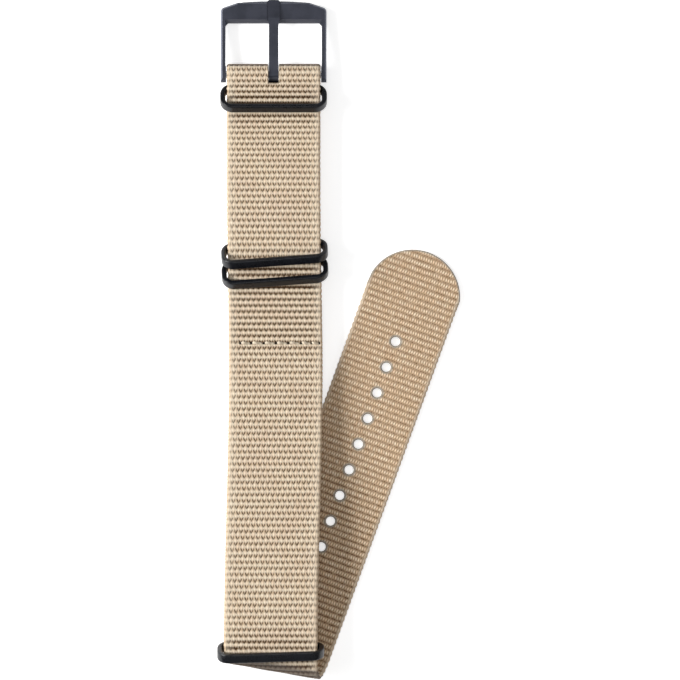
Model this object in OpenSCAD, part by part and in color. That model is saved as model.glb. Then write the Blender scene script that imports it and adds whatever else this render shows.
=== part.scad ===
// Pull-through woven watch strap with a pin buckle, three keeper rings and an end ring.
// The strap lies on a table as it is packed: the long strap comes down from the buckle,
// passes through the end ring, folds back on a slanted line and its tail lies underneath.
// X is across the strap, +Y points from the fold to the buckle, Z = 0 is the table.

/* [Webbing] */
// Width of the webbing
band_w = 24; // [20:1:28]
// Thickness of the webbing
web_t = 1.4; // [1.1:0.1:1.7]
// Free space between the folded webbing and the short strap's loop inside the fold
fold_clear = 0.25; // [0.15:0.05:0.6]

/* [Layout] */
// X of the band's centreline at the buckle
band_x = -16.95; // [-20:0.05:-14]
// Y of the spring bar
bar_y = 67.8; // [60:0.1:75]
// From the spring bar down to the row of stitches
seam_run = 68.6; // [62:0.2:76]
// From the spring bar down to the axis of the slanted fold, on the band's centreline
fold_run = 147.9; // [142:0.1:160]
// How far the band bows to the right above the seam
bow_up = 0.54; // [0:0.02:0.6]
// How far the band then leans to the left, down to the fold
bow_down = 1.29; // [0:0.01:1.4]
// Angle between the band and the tail
tail_angle = 19.9; // [14:0.1:24]
// How far the tail's centre lies along the fold from the band's centre
fold_step = 2.89; // [1.5:0.01:3.5]

/* [Tail] */
// Length of the tail from the fold's axis to its tip
tail_l = 109.6; // [100:0.2:125]
// Radius of the tail's rounded end, whose circle touches the tail's left edge
tip_r = 12.2; // [12.1:0.1:15]
// From the tip to the centre of the first hole
tip_to_hole = 24.3; // [20:0.1:30]
// Number of buckle holes
hole_count = 10; // [4:1:11]
// Distance between buckle holes
hole_pitch = 6.97; // [5.5:0.01:7.2]
// Radius of a buckle hole
hole_r = 1.15; // [1:0.05:1.5]

/* [Rings] */
// Height of a ring across its two long bars
ring_h = 7.8; // [7.4:0.1:9]
// Thickness of a ring's wire, seen along the strap
ring_wall = 1.25; // [1.1:0.05:1.5]
// Width of a ring's wire along its own axis
ring_w = 2.4; // [2:0.1:2.8]
// Rounding of the wire's edges
ring_edge = 0.4; // [0.2:0.05:0.5]
// Outer corner radius of a ring
ring_corner = 2.4; // [2.2:0.1:2.4]
// Space beside the webbing, on each side, inside a ring
ring_side_gap = 0.5; // [0.5:0.01:0.8]
// Space above and below a ring's bar inside the sleeve
sleeve_clear = 0.18; // [0.16:0.01:0.4]
// Space round the end ring's bar inside its loop
loop_clear = 0.14; // [0.12:0.01:0.3]
// From the spring bar to the first keeper's rear bar
keeper_1_run = 3.5; // [3.5:0.1:20]
// From the spring bar to the second keeper's rear bar
keeper_2_run = 43.58; // [30:0.02:44]
// From the spring bar to the third keeper's rear bar
keeper_3_run = 47.86; // [47.8:0.02:52]
// From the fold's axis back to the end ring's rear bar, on the centreline
end_ring_run = 1.95; // [1.9:0.05:8]
// Lean of the first and third keepers, laid down on the webbing
tilt_laid = 51; // [40:0.5:52]
// Lean of the second keeper, propped on the third
tilt_propped = 40; // [30:0.5:42]
// Lean of the end ring
tilt_end = 25; // [10:0.5:28]
// Turn of the second and third keepers, seen from the front
keeper_skew = 3.3; // [0:0.1:3.5]

/* [Buckle] */
// Space between the webbing's edge and a side arm of the frame
arm_gap = 0.3; // [0.3:0.05:1]
// Width of a side arm, seen from the front
arm_w = 1.2; // [1:0.05:2]
// Thickness of the frame
frame_t = 2.4; // [2.2:0.1:3]
// From the spring bar to the frame's far edge
frame_reach = 18.72; // [16:0.02:24]
// Depth of the frame's front bar
front_bar_d = 5.52; // [3.5:0.02:6]
// Radius of the frame's outer corners
frame_corner = 1.2; // [0.6:0.1:2]
// Radius of the front bar's shallow arch
arch_r = 100; // [60:1:160]
// Half width of the arch; past it the outline slopes to the corners
arch_half = 9.3; // [7:0.1:10.5]
// Slope of the outline between the arch and the corners, degrees
shoulder_angle = 18.7; // [10:0.1:25]
// Cut across each corner of the window beside the front bar
window_corner = 0.7; // [0.2:0.1:1.2]
// Bevel round the frame's outer edges
edge_bevel = 0.4; // [0.2:0.05:0.5]
// Bevel along the window side of the front bar
window_bevel = 0.87; // [0.4:0.01:1]
// How far an ear reaches past the spring bar's axis
ear_reach = 2.04; // [1.6:0.02:2.1]
// Height of the boss inside each ear
boss_h = 0.15; // [0.1:0.05:0.2]
// Width of the tongue
tongue_w = 2.4; // [2:0.1:2.8]
// Width of the tongue's flared tip
tongue_tip_w = 3.1; // [2.4:0.1:3.6]
// Thickness of the tongue
tongue_t = 1; // [0.8:0.05:1.1]
// How far the tongue's tip reaches past the frame's far edge
tip_over = 0.36; // [0.1:0.02:0.5]

/* [Spring bar] */
// Radius of the bar's tube
tube_r = 0.9; // [0.8:0.05:1]
// Wall of the tube
tube_wall = 0.28; // [0.2:0.02:0.32]
// Radius of the pivot at each end
pivot_r = 0.4; // [0.35:0.05:0.5]
// How far each end pushes in
tip_travel = 1.2; // [1:0.05:1.4]
// Radius of the coil spring's wire
spring_wire_r = 0.1; // [0.08:0.01:0.12]
// Number of turns in the coil spring
spring_turns = 12; // [8:1:14]

/* [Stitching] */
// Radius of the sewing thread
thread_r = 0.25; // [0.2:0.01:0.28]
// Length of one stitch
stitch_l = 2.92; // [2.4:0.02:3.3]
// From the band's left edge to the first needle hole
stitch_inset = 2.8; // [1.6:0.1:3]

/* [Hidden] */

// Running clearance on a radius, and the smallest free gap between two flat faces
fit = 0.05;
gap = 0.1;
past = 1;
// Smallest space between two soft layers, and between the frame's far edge and the table
soft_gap = 0.3;
rest_gap = 0.03;
// Facets of round shapes by size
round_fn = 96;
small_fn = 24;

// Space inside the sleeve and the loop follows from the ring's wire
wire_reach = norm([ring_w / 2 - ring_edge, ring_wall / 2 - ring_edge]) + ring_edge;
sleeve_gap = 2 * (wire_reach + sleeve_clear);
loop_bore = wire_reach + loop_clear;
bar_z = web_t + sleeve_gap / 2;
sleeve_z = web_t + sleeve_gap + web_t / 2;

// Fold: radius to the middle of the webbing, and its axis through fold_at along fold_dir
fold_r = loop_bore + web_t + fold_clear + web_t / 2;
fold_z = fold_r + web_t / 2;
fold_slant = tail_angle / 2;
fold_dir = [cos(fold_slant), -sin(fold_slant), 0];
fold_out = [-sin(fold_slant), -cos(fold_slant), 0];
band_top_z = fold_z + fold_r;

// Runs along the band: start and turn of its bow, lap and flat of the seam, closing of the
// sleeve, climb to the fold
bow_run = 28;
bow_turn = 7;
seam_lap = 3.3;
seam_flat = 5.2;
sleeve_close = 13.3;
climb_run = 18;

// Stations along the band
seam_y = bar_y - seam_run;
fold_y = bar_y - fold_run;
bow_start_y = bar_y - bow_run;
bow_turn_y = seam_y - bow_turn;
sleeve_end_y = seam_y + sleeve_close;
climb_end_y = fold_y + climb_run;
end_ring_y = fold_y + end_ring_run;
tail_at = [fold_x() + fold_step * cos(fold_slant), fold_y - fold_step * sin(fold_slant)];

// The short strap's sewn flap
flap_run = 13;
flap_half = 4;
flap_seam_y = end_ring_y + flap_run;
flap_z = band_top_z - web_t - 2 * thread_r - soft_gap;
needle_r = thread_r + fit;
// Free webbing past the last stitch of a row
stitch_margin = 0.6;
// Short straight lengths where a layer's ramp meets what it is sewn to or wraps
lap_ease = 1;
flap_ease = 2;
close_ease = 0.5;

// Buckle frame, in its own frame: y runs from the spring bar to the front bar
ring_outer_w = band_w + 2 * ring_side_gap + 2 * ring_wall;
frame_in = band_w / 2 + arm_gap;
frame_out_x = frame_in + arm_w;
window_end = frame_reach - front_bar_d;
arch_y = frame_reach - arch_r;
corner_x = frame_out_x - frame_corner;
shoulder_y = arch_y + sqrt(pow(arch_r, 2) - pow(arch_half, 2));
corner_y = shoulder_y - (frame_corner + (corner_x - arch_half) * sin(shoulder_angle)) / cos(shoulder_angle);
shoulder_l = norm([corner_x + frame_corner * sin(shoulder_angle) - arch_half,
    corner_y + frame_corner * cos(shoulder_angle) - shoulder_y]);
arch_steps = 12;
corner_steps = 8;
ear_in = frame_in - boss_h;
// The frame's far edge rests on the table, so the frame droops by this angle
droop = asin((bar_z - rest_gap) / norm([frame_reach, frame_t / 2])) - atan2(frame_t / 2, frame_reach);

crown_run = 0.7;

// Tongue: space beside it and behind its eye in the webbing's slot, flare and thinning at its tip
tongue_reach = frame_reach + tip_over;
slot_side = 0.2;
slot_end = 0.15;
flare_before = 0.6;
flare_after = 0.9;
thin_after = 1.2;
tip_corner = 0.4;
tip_t = 0.35;
tip_drop = 0.05;
eye_r = tube_r + fit;
eye_out_r = eye_r + tongue_t;
slot_w = tongue_w + 2 * slot_side;
slot_reach = eye_out_r + slot_end;
// Rest for the tip in the front bar
rest_side = 0.15;
notch_floor = eye_r - gap;

// Spring bar
tube_in_r = tube_r - tube_wall;
piston_r = tube_in_r - fit;
shoulder_w = 0.4;
shoulder_out = ear_in - fit;
tube_half = shoulder_out - shoulder_w - tip_travel - fit;
piston_l = 2.6;
pivot_inset = 0.2;
pivot_l = min(frame_out_x - ear_in - pivot_inset, tip_travel - fit);

function ease(u) = let(c = min(max(u, 0), 1)) c * c * (3 - 2 * c);
function between(y, y0, y1) = ease((y0 - y) / (y0 - y1));
// X of the band's centreline at a station
function band_mid(y) = band_x + bow_up * between(y, bow_start_y, bow_turn_y)
    - bow_down * between(y, bow_turn_y, fold_y);
function fold_x() = band_mid(fold_y);
// Height of the middle of each layer at a station
function front_z(y) = sleeve_z
    + (band_top_z - sleeve_z) * between(y, seam_y - seam_flat, climb_end_y);
function return_z(y) = web_t / 2
    + (sleeve_z - web_t * 1.5) * between(y, sleeve_end_y, seam_y + seam_lap + lap_ease);
function short_z(y) = sleeve_z - 2 * web_t
    + (flap_z - web_t / 2 - sleeve_z + 2 * web_t)
        * between(y, seam_y - seam_flat, flap_seam_y + flap_half + flap_ease)
    + (fold_z + loop_bore + web_t / 2 - flap_z + web_t / 2)
        * between(y, flap_seam_y - flap_half, end_ring_y + flap_ease);
function flap_return_z(y) = fold_z - loop_bore - web_t / 2
    + (flap_z - 1.5 * web_t - fold_z + loop_bore + web_t / 2)
        * between(-y, -end_ring_y - lap_ease, -flap_seam_y + flap_half + close_ease);
// Half turn of webbing round a bar: middle radius, from above the bar to below it
function half_turn(y, z, r, way, steps = 24) = [
    for (i = [1 : steps - 1]) let(a = 90 - 180 * i / steps) [y + way * r * cos(a), z + r * sin(a)]
];
// Outline of a strip of webbing whose middle follows the points p
function side_step(p, i) = let(d = p[min(i + 1, len(p) - 1)] - p[max(i - 1, 0)])
    [-d[1], d[0]] / norm(d) * web_t / 2;
function strip(p) = concat(
    [for (i = [0 : len(p) - 1]) p[i] + side_step(p, i)],
    [for (i = [len(p) - 1 : -1 : 0]) p[i] - side_step(p, i)]);

climb_steps = 16;
ramp_steps = 10;
flap_steps = 6;
front_path = concat(
    [[fold_y - band_w / 2, band_top_z]],
    [for (i = [0 : climb_steps]) let(y = climb_end_y + (seam_y - seam_flat - climb_end_y) * i / climb_steps)
        [y, front_z(y)]],
    [[bar_y, sleeve_z]]);
return_path = concat(
    [[bar_y, web_t / 2]],
    [for (i = [0 : ramp_steps])
        let(y = sleeve_end_y + (seam_y + seam_lap + lap_ease - sleeve_end_y) * i / ramp_steps)
        [y, return_z(y)]],
    [[seam_y - seam_lap, sleeve_z - web_t]]);
band_path = concat(front_path, half_turn(bar_y, bar_z, (sleeve_gap + web_t) / 2, 1), return_path);
short_path = concat(
    [[seam_y + seam_lap, sleeve_z - 2 * web_t]],
    [for (i = [0 : climb_steps])
        let(run = seam_y - seam_flat - flap_seam_y - flap_half - flap_ease)
        let(y = seam_y - seam_flat - run * i / climb_steps)
        [y, short_z(y)]],
    [for (i = [0 : flap_steps])
        let(run = flap_seam_y - flap_half - end_ring_y - flap_ease)
        let(y = flap_seam_y - flap_half - run * i / flap_steps)
        [y, short_z(y)]],
    [[end_ring_y, fold_z + loop_bore + web_t / 2]],
    half_turn(end_ring_y, fold_z, loop_bore + web_t / 2, -1),
    [[end_ring_y, fold_z - loop_bore - web_t / 2]],
    [for (i = [0 : flap_steps])
        let(run = flap_seam_y - flap_half - close_ease - end_ring_y - lap_ease)
        let(y = end_ring_y + lap_ease + run * i / flap_steps)
        [y, flap_return_z(y)]],
    [[flap_seam_y + flap_half, flap_z - 1.5 * web_t]]);

// A side outline in (Y, Z), as wide as asked, centred on X = 0
module across(w) rotate([90, 0, 90]) linear_extrude(height = w, center = true) children();

// Plan outline of the bowed band between two stations, each end square or slanted like the fold
plan_steps = 14;
module band_plan(y_low, y_high, slant_low = 0) {
    rise = band_w / 2 * tan(slant_low);
    stations = concat(
        [for (i = [0 : plan_steps]) let(f = i / plan_steps) bow_turn_y + (fold_y - bow_turn_y) * (1 - f)],
        [for (i = [1 : plan_steps]) let(f = i / plan_steps) bow_turn_y + (bow_start_y - bow_turn_y) * f]);
    used = [for (y = stations) if (y > y_low + rise + gap && y < y_high - gap) y];
    right = concat([[band_mid(y_low) + band_w / 2, y_low - rise]],
        [for (y = used) [band_mid(y) + band_w / 2, y]], [[band_mid(y_high) + band_w / 2, y_high]]);
    left = concat([[band_mid(y_high) - band_w / 2, y_high]],
        [for (i = [len(used) - 1 : -1 : 0]) [band_mid(used[i]) - band_w / 2, used[i]]],
        [[band_mid(y_low) - band_w / 2, y_low + rise]]);
    translate([0, 0, -past]) linear_extrude(height = band_top_z + web_t + 2 * past)
        polygon(concat(right, left));
}

// Needle holes of one row of stitches: x of hole i on the row at station y
stitch_count = floor((band_w - stitch_inset - stitch_margin) / stitch_l);
function stitch_x(y, i) = band_mid(y) - band_w / 2 + stitch_inset + i * stitch_l;
module needle_holes(y, z_low, z_high)
    for (i = [0 : stitch_count]) translate([stitch_x(y, i), y, z_low - past])
        cylinder(h = z_high - z_low + 2 * past, r = needle_r, $fn = small_fn);

// One sewn row: stitches on both faces, joined through the needle holes
module thread_row(y, z_low, z_high) {
    top = z_high + thread_r;
    low = z_low - thread_r;
    for (z = [low, top]) {
        translate([stitch_x(y, 0), y, z]) rotate([0, 90, 0])
            cylinder(h = stitch_count * stitch_l, r = thread_r, $fn = small_fn);
        for (x = [stitch_x(y, 0), stitch_x(y, stitch_count)])
            translate([x, y, z]) sphere(r = thread_r, $fn = small_fn);
    }
    for (i = [0 : stitch_count]) translate([stitch_x(y, i), y, low])
        cylinder(h = top - low, r = thread_r, $fn = small_fn);
}

// Long strap, tail: lies flat on the table, with a rounded sealed end and the buckle holes
module long_strap_tail() color("#9c8468")
    translate([tail_at[0], tail_at[1], 0]) rotate([0, 0, -tail_angle]) {
        rise = band_w / 2 * tan(fold_slant);
        end_y = tail_l - tip_r;
        difference() {
            linear_extrude(height = web_t) intersection() {
                polygon([[-band_w / 2, -rise], [band_w / 2, rise],
                    [band_w / 2, tail_l + past], [-band_w / 2, tail_l + past]]);
                union() {
                    translate([tip_r - band_w / 2, end_y]) circle(r = tip_r, $fn = round_fn);
                    translate([-band_w, -band_w]) square([2 * band_w, end_y + band_w]);
                }
            }
            for (i = [0 : hole_count - 1])
                translate([0, tail_l - tip_to_hole - i * hole_pitch, -past])
                    cylinder(h = web_t + 2 * past, r = hole_r, $fn = round_fn);
        }
    }

// Long strap, fold: half a turn round the slanted axis, drifting along it as it turns
fold_steps = 18;
function fold_point(turn, side, r) =
    let(s = side * band_w / 2 / cos(fold_slant) + fold_step * turn / 180)
    [fold_x(), fold_y, 0] + s * fold_dir + r * sin(turn) * fold_out + [0, 0, fold_z + r * cos(turn)];
module long_strap_fold() color("#8a7a66") {
    inner = fold_r - web_t / 2;
    outer = fold_r + web_t / 2;
    points = [for (i = [0 : fold_steps]) let(turn = 180 * i / fold_steps)
        each [fold_point(turn, -1, inner), fold_point(turn, 1, inner),
            fold_point(turn, 1, outer), fold_point(turn, -1, outer)]];
    walls = [for (i = [0 : fold_steps - 1], k = [0 : 3]) let(a = 4 * i + k, b = 4 * i + (k + 1) % 4)
        each [[a, b + 4, b], [a, a + 4, b + 4]]];
    last = 4 * fold_steps;
    polyhedron(points, concat([[0, 1, 2], [0, 2, 3],
        [last + 2, last + 1, last], [last + 3, last + 2, last]], walls), convexity = 4);
}

// Long strap, band: front layer, turn round the spring bar with the tongue's slot, return layer
module long_strap_band() color("#d8c09a") difference() {
    intersection() {
        translate([band_x, 0, 0]) across(2 * band_w) polygon(strip(band_path));
        band_plan(fold_y, bar_y + band_w / 2, fold_slant);
    }
    translate([band_x - slot_w / 2, bar_y - slot_reach, -past])
        cube([slot_w, slot_reach + band_w, sleeve_z + 2 * past]);
    needle_holes(seam_y, sleeve_z - 2 * web_t, sleeve_z + web_t / 2);
}

// Short strap: sewn under the long strap at the seam, looped round the end ring's rear bar
module short_strap() color("#cdb48e") difference() {
    intersection() {
        translate([band_x, 0, 0]) across(2 * band_w) polygon(strip(short_path));
        band_plan(end_ring_y - band_w / 4, seam_y + seam_lap + past);
    }
    needle_holes(seam_y, sleeve_z - 2.5 * web_t, sleeve_z);
    needle_holes(flap_seam_y, flap_z - 2 * web_t, flap_z);
}

// Thread of the seam that joins long strap, return layer and short strap
module seam_thread() color("#efe3c8")
    thread_row(seam_y, sleeve_z - 2.5 * web_t, sleeve_z + web_t / 2);

// Thread that closes the short strap's loop
module loop_thread() color("#efe3c8") thread_row(flap_seam_y, flap_z - 2 * web_t, flap_z);

// Section of a ring's wire: a rectangle with rounded edges, x across the wall
module wire_section() {
    x = ring_wall / 2 - ring_edge;
    y = ring_w / 2 - ring_edge;
    square([ring_wall, 2 * y], center = true);
    square([2 * x, ring_w], center = true);
    for (sx = [-1, 1], sy = [-1, 1]) translate([sx * x, sy * y]) circle(r = ring_edge, $fn = small_fn);
}

// Flat-wire ring in its own frame: rear bar's axis on X, front bar above it in +Z
module ring() {
    turn_r = ring_corner - ring_wall / 2;
    half_x = ring_outer_w / 2 - ring_corner;
    half_z = ring_h / 2 - ring_corner;
    translate([0, 0, (ring_h - ring_wall) / 2]) {
        for (s = [-1, 1]) {
            translate([-half_x, 0, s * (half_z + turn_r)]) rotate([90, 0, 90])
                linear_extrude(height = 2 * half_x) rotate(90) wire_section();
            if (half_z > 0) translate([s * (half_x + turn_r), 0, -half_z])
                linear_extrude(height = 2 * half_z) wire_section();
        }
        for (sx = [-1, 1], sz = [-1, 1]) translate([sx * half_x, 0, sz * half_z])
            rotate([90, 0, 0]) rotate([0, 0, sx > 0 ? (sz > 0 ? 0 : -90) : (sz > 0 ? 90 : 180)])
                rotate_extrude(angle = 90, $fn = round_fn) translate([turn_r, 0]) wire_section();
    }
}

// A ring set on the band: rear bar at a station, leaning down the strap, turned in plan
module set_ring(y, z, tilt, skew = 0) color("#26272c")
    translate([band_mid(y), y, z]) rotate([0, 0, skew]) rotate([tilt, 0, 0]) ring();

module keeper_ring_1() set_ring(bar_y - keeper_1_run, bar_z, tilt_laid);
module keeper_ring_2() set_ring(bar_y - keeper_2_run, bar_z, tilt_propped, keeper_skew);
module keeper_ring_3() set_ring(bar_y - keeper_3_run, bar_z, tilt_laid, keeper_skew);
module end_ring() set_ring(end_ring_y, fold_z, tilt_end);

// The spring bar's axis is the buckle's own X axis, and the buckle droops to the table
module at_bar() translate([band_x, bar_y, bar_z]) rotate([-droop, 0, 0]) children();
module x_rod(x0, x1, r) translate([x0, 0, 0]) rotate([0, 90, 0])
    cylinder(h = x1 - x0, r = r, $fn = round_fn);

// Plan outline of the frame: straight arms, round corners, sloped shoulders and a shallow arch
module frame_plan() {
    corner = [for (i = [0 : corner_steps]) let(a = (90 - shoulder_angle) * i / corner_steps)
        [corner_x + frame_corner * cos(a), corner_y + frame_corner * sin(a)]];
    arch = [for (i = [0 : arch_steps]) let(x = arch_half * (1 - 2 * i / arch_steps))
        [x, arch_y + sqrt(pow(arch_r, 2) - pow(x, 2))]];
    polygon(concat([[frame_out_x, -ear_reach]], corner, arch,
        [for (i = [corner_steps : -1 : 0]) [-corner[i][0], corner[i][1]]], [[-frame_out_x, -ear_reach]]));
}

// Side outline of the frame: rounded ears and a front bar with a slightly crowned far edge
module frame_side() {
    half = frame_t / 2;
    translate([half - ear_reach, 0]) circle(r = half, $fn = round_fn);
    polygon([[half - ear_reach, -half], [frame_reach, -half], [frame_reach, half - edge_bevel],
        [frame_reach - crown_run, half], [half - ear_reach, half]]);
}

// Triangle that cuts a bevel from an outer edge: x outwards, the edge at the origin
module bevel_cut() polygon([[-edge_bevel - gap, gap], [gap, gap], [gap, -edge_bevel - gap]]);
module both_sides() {
    children();
    mirror([1, 0, 0]) children();
}

// Bevel along one side of the frame: arm, corner, then shoulder
module outer_bevel() {
    translate([frame_out_x, corner_y, frame_t / 2]) rotate([90, 0, 0])
        linear_extrude(height = corner_y + ear_reach + past) bevel_cut();
    translate([corner_x, corner_y, frame_t / 2])
        rotate_extrude(angle = 90 - shoulder_angle, $fn = round_fn)
            translate([frame_corner, 0]) bevel_cut();
    translate([arch_half, shoulder_y, frame_t / 2]) rotate([0, 0, 90 - shoulder_angle])
        rotate([90, 0, 0]) linear_extrude(height = shoulder_l + past) bevel_cut();
}

module buckle_frame() color("#44464f") at_bar() difference() {
    intersection() {
        translate([0, 0, -frame_t]) linear_extrude(height = 2 * frame_t) frame_plan();
        across(4 * frame_out_x) frame_side();
    }
    // Window: full width between the arms, narrower where the ears have their bosses
    translate([0, 0, -frame_t]) linear_extrude(height = 2 * frame_t)
        polygon([[-frame_in, ear_reach], [frame_in, ear_reach], [frame_in, window_end - window_corner],
            [frame_in - window_corner, window_end], [window_corner - frame_in, window_end],
            [-frame_in, window_end - window_corner]]);
    translate([-ear_in, -ear_reach - past, -frame_t])
        cube([2 * ear_in, 2 * ear_reach + 2 * past, 2 * frame_t]);
    // Bevel on the window side of the front bar
    translate([0, window_end, frame_t / 2]) rotate([45, 0, 0])
        cube([2 * frame_in, window_bevel * sqrt(2), window_bevel * sqrt(2)], center = true);
    // Rest for the tongue's tip
    translate([-tongue_tip_w / 2 - rest_side, window_end - past, notch_floor])
        cube([tongue_tip_w + 2 * rest_side, front_bar_d + 2 * past, frame_t]);
    both_sides() outer_bevel();
    // Bores for the spring bar's pivots
    x_rod(-frame_out_x - past, frame_out_x + past, pivot_r + fit);
}

// Plan outline of the tongue: parallel shank, slightly flared tip with cut corners
module tongue_plan() {
    shank_y = window_end - flare_before;
    flare_y = window_end + flare_after;
    half = tongue_tip_w / 2;
    polygon([[-half, flare_y], [-tongue_w / 2, shank_y], [-tongue_w / 2, -eye_out_r - past],
        [tongue_w / 2, -eye_out_r - past], [tongue_w / 2, shank_y], [half, flare_y],
        [half, tongue_reach - tip_corner], [half - tip_corner, tongue_reach],
        [tip_corner - half, tongue_reach], [-half, tongue_reach - tip_corner]]);
}

// Tongue: eye round the spring bar, shank tangent to it, tip thinned over the front bar
module buckle_tongue() color("#3a3c45") at_bar() difference() {
    intersection() {
        translate([0, 0, -frame_t * 2]) linear_extrude(height = frame_t * 4) tongue_plan();
        across(2 * tongue_tip_w) {
            circle(r = eye_out_r, $fn = round_fn);
            polygon([[0, eye_r], [tongue_reach + past, eye_r],
                [tongue_reach + past, eye_r + tip_t - tip_drop], [tongue_reach, eye_r + tip_t],
                [window_end + thin_after, eye_out_r], [0, eye_out_r]]);
        }
    }
    x_rod(-tongue_tip_w, tongue_tip_w, eye_r);
}

module spring_bar_tube() color("#55575f") at_bar() difference() {
    x_rod(-tube_half, tube_half, tube_r);
    x_rod(-tube_half - past, tube_half + past, tube_in_r);
}

// One end of the spring bar: piston in the tube, shoulder, pivot in the ear
module spring_bar_tip() {
    x_rod(shoulder_out - shoulder_w - tip_travel - piston_l, shoulder_out - shoulder_w + fit, piston_r);
    x_rod(shoulder_out - shoulder_w, shoulder_out, tube_r);
    x_rod(shoulder_out - fit, shoulder_out + pivot_l + fit, pivot_r);
}
module spring_bar_tip_left() color("#6a6c74") at_bar() mirror([1, 0, 0]) spring_bar_tip();
module spring_bar_tip_right() color("#6a6c74") at_bar() spring_bar_tip();

// Coil spring between the two pistons, one unbroken round wire
spring_half = shoulder_out - shoulder_w - tip_travel - piston_l - gap;
coil_r = tube_in_r - gap - spring_wire_r;
coil_steps = 10;
wire_sides = 6;
function coil_point(i, k) =
    let(n = spring_turns * coil_steps, turn = 360 * i / coil_steps, a = 360 * k / wire_sides,
        x = (spring_half - spring_wire_r) * (2 * i / n - 1), r = coil_r + spring_wire_r * cos(a))
    [x + spring_wire_r * sin(a), r * cos(turn), r * sin(turn)];
module spring_bar_spring() color("#b9bcc4") at_bar() {
    n = spring_turns * coil_steps;
    points = [for (i = [0 : n], k = [0 : wire_sides - 1]) coil_point(i, k)];
    walls = [for (i = [0 : n - 1], k = [0 : wire_sides - 1])
        let(a = wire_sides * i + k, b = wire_sides * i + (k + 1) % wire_sides)
        each [[a, b, b + wire_sides], [a, b + wire_sides, a + wire_sides]]];
    polyhedron(points, concat([[for (k = [wire_sides - 1 : -1 : 0]) k]],
        [[for (k = [0 : wire_sides - 1]) wire_sides * n + k]], walls), convexity = 10);
}

long_strap_tail();
long_strap_fold();
long_strap_band();
short_strap();
seam_thread();
loop_thread();
keeper_ring_1();
keeper_ring_2();
keeper_ring_3();
end_ring();
buckle_frame();
buckle_tongue();
spring_bar_tube();
spring_bar_spring();
spring_bar_tip_left();
spring_bar_tip_right();
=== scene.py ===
"""Looks of a packed watch strap: ribbed webbing, sewn seams, dark rings and buckle.

Lengths are millimetres until a mesh is made. The webbing's own coordinates are u, across it
from its centreline, and v, along it: v is about 0 at the fold, negative up the band towards
the buckle and positive along the tail.
"""

import math

import bpy
import numpy as np
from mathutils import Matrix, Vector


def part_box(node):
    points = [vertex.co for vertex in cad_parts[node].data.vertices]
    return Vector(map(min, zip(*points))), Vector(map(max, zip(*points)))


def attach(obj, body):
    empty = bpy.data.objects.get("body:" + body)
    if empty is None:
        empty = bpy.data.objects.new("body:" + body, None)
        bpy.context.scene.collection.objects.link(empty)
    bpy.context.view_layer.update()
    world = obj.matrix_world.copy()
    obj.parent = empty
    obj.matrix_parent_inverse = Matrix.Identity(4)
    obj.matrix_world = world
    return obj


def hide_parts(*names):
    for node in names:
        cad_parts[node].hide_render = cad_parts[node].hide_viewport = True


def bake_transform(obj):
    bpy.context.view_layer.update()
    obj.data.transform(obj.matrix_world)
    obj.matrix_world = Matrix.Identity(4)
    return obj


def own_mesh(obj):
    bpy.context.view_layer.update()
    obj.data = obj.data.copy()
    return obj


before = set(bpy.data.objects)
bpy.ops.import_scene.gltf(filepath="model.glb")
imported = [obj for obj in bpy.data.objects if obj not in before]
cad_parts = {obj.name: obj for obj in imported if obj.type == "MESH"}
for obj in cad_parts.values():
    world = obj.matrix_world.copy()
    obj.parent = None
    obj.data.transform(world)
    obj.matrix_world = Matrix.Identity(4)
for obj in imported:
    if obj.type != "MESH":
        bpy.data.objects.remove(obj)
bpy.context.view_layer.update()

MM = 0.001
PI = math.pi

# Webbing, as in the part's source
BAND_W, WEB_T = 24.0, 1.4
BAND_X, BAR_Y = -16.95, 67.8
SEAM_Y, FOLD_Y = BAR_Y - 68.6, BAR_Y - 147.9
BOW_UP, BOW_DOWN = 0.54, 1.29
BOW_START_Y, BOW_TURN_Y = BAR_Y - 28, SEAM_Y - 7
TAIL_TURN = math.radians(19.9)
SLANT = TAIL_TURN / 2
# Shift of the webbing along the fold's axis, and the run over which its rows turn to that axis
FOLD_STEP, LEAN_RUN = 2.89, 9
TAIL_L, TIP_R = 109.6, 12.2
TIP_TO_HOLE, HOLE_PITCH, HOLE_R, HOLES = 24.3, 6.97, 1.15, 10

# Ring wire: half of its depth and of its thickness, and its edge radius. Then the layers that
# follow from it, with room for the wire in the sleeve and in the loop, and between layers.
WIRE_HALF_D, WIRE_HALF_T, WIRE_EDGE_R = 1.2, 0.625, 0.4
SLEEVE_FIT, LOOP_FIT, LAYER_GAP, STITCH_SINK = 0.18, 0.14, 0.25, 0.3
WIRE_REACH = math.hypot(WIRE_HALF_D - WIRE_EDGE_R, WIRE_HALF_T - WIRE_EDGE_R) + WIRE_EDGE_R
SLEEVE_GAP = 2 * (WIRE_REACH + SLEEVE_FIT)
LOOP_BORE = WIRE_REACH + LOOP_FIT
BAR_Z = WEB_T + SLEEVE_GAP / 2
SLEEVE_Z = 1.5 * WEB_T + SLEEVE_GAP
FOLD_R = LOOP_BORE + 1.5 * WEB_T + LAYER_GAP
FOLD_Z = FOLD_R + WEB_T / 2
TOP_Z = FOLD_Z + FOLD_R
END_RING_Y = FOLD_Y + 1.95
CLIMB_END_Y = FOLD_Y + 18
SEAM_LAP, SEAM_FLAT, SLEEVE_CLOSE = 3.3, 5.2, 13.3
FLAP_SEAM_Y, FLAP_HALF = END_RING_Y + 13, 4.0
FLAP_Z = TOP_Z - WEB_T - 2 * LAYER_GAP - STITCH_SINK
# Tongue's slot: half its width, and how far it runs below the bar in the front and return layer
SLOT_HALF, SLOT_REACH, SLOT_BACK = 1.3, 2.06, 1.45
# The band is cut into pieces this far above the seam and, behind, below the bar
LOWER_UP, RETURN_DOWN = 6, 4
RING_Y = (BAR_Y - 3.5, BAR_Y - 43.58, BAR_Y - 47.86)

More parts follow.
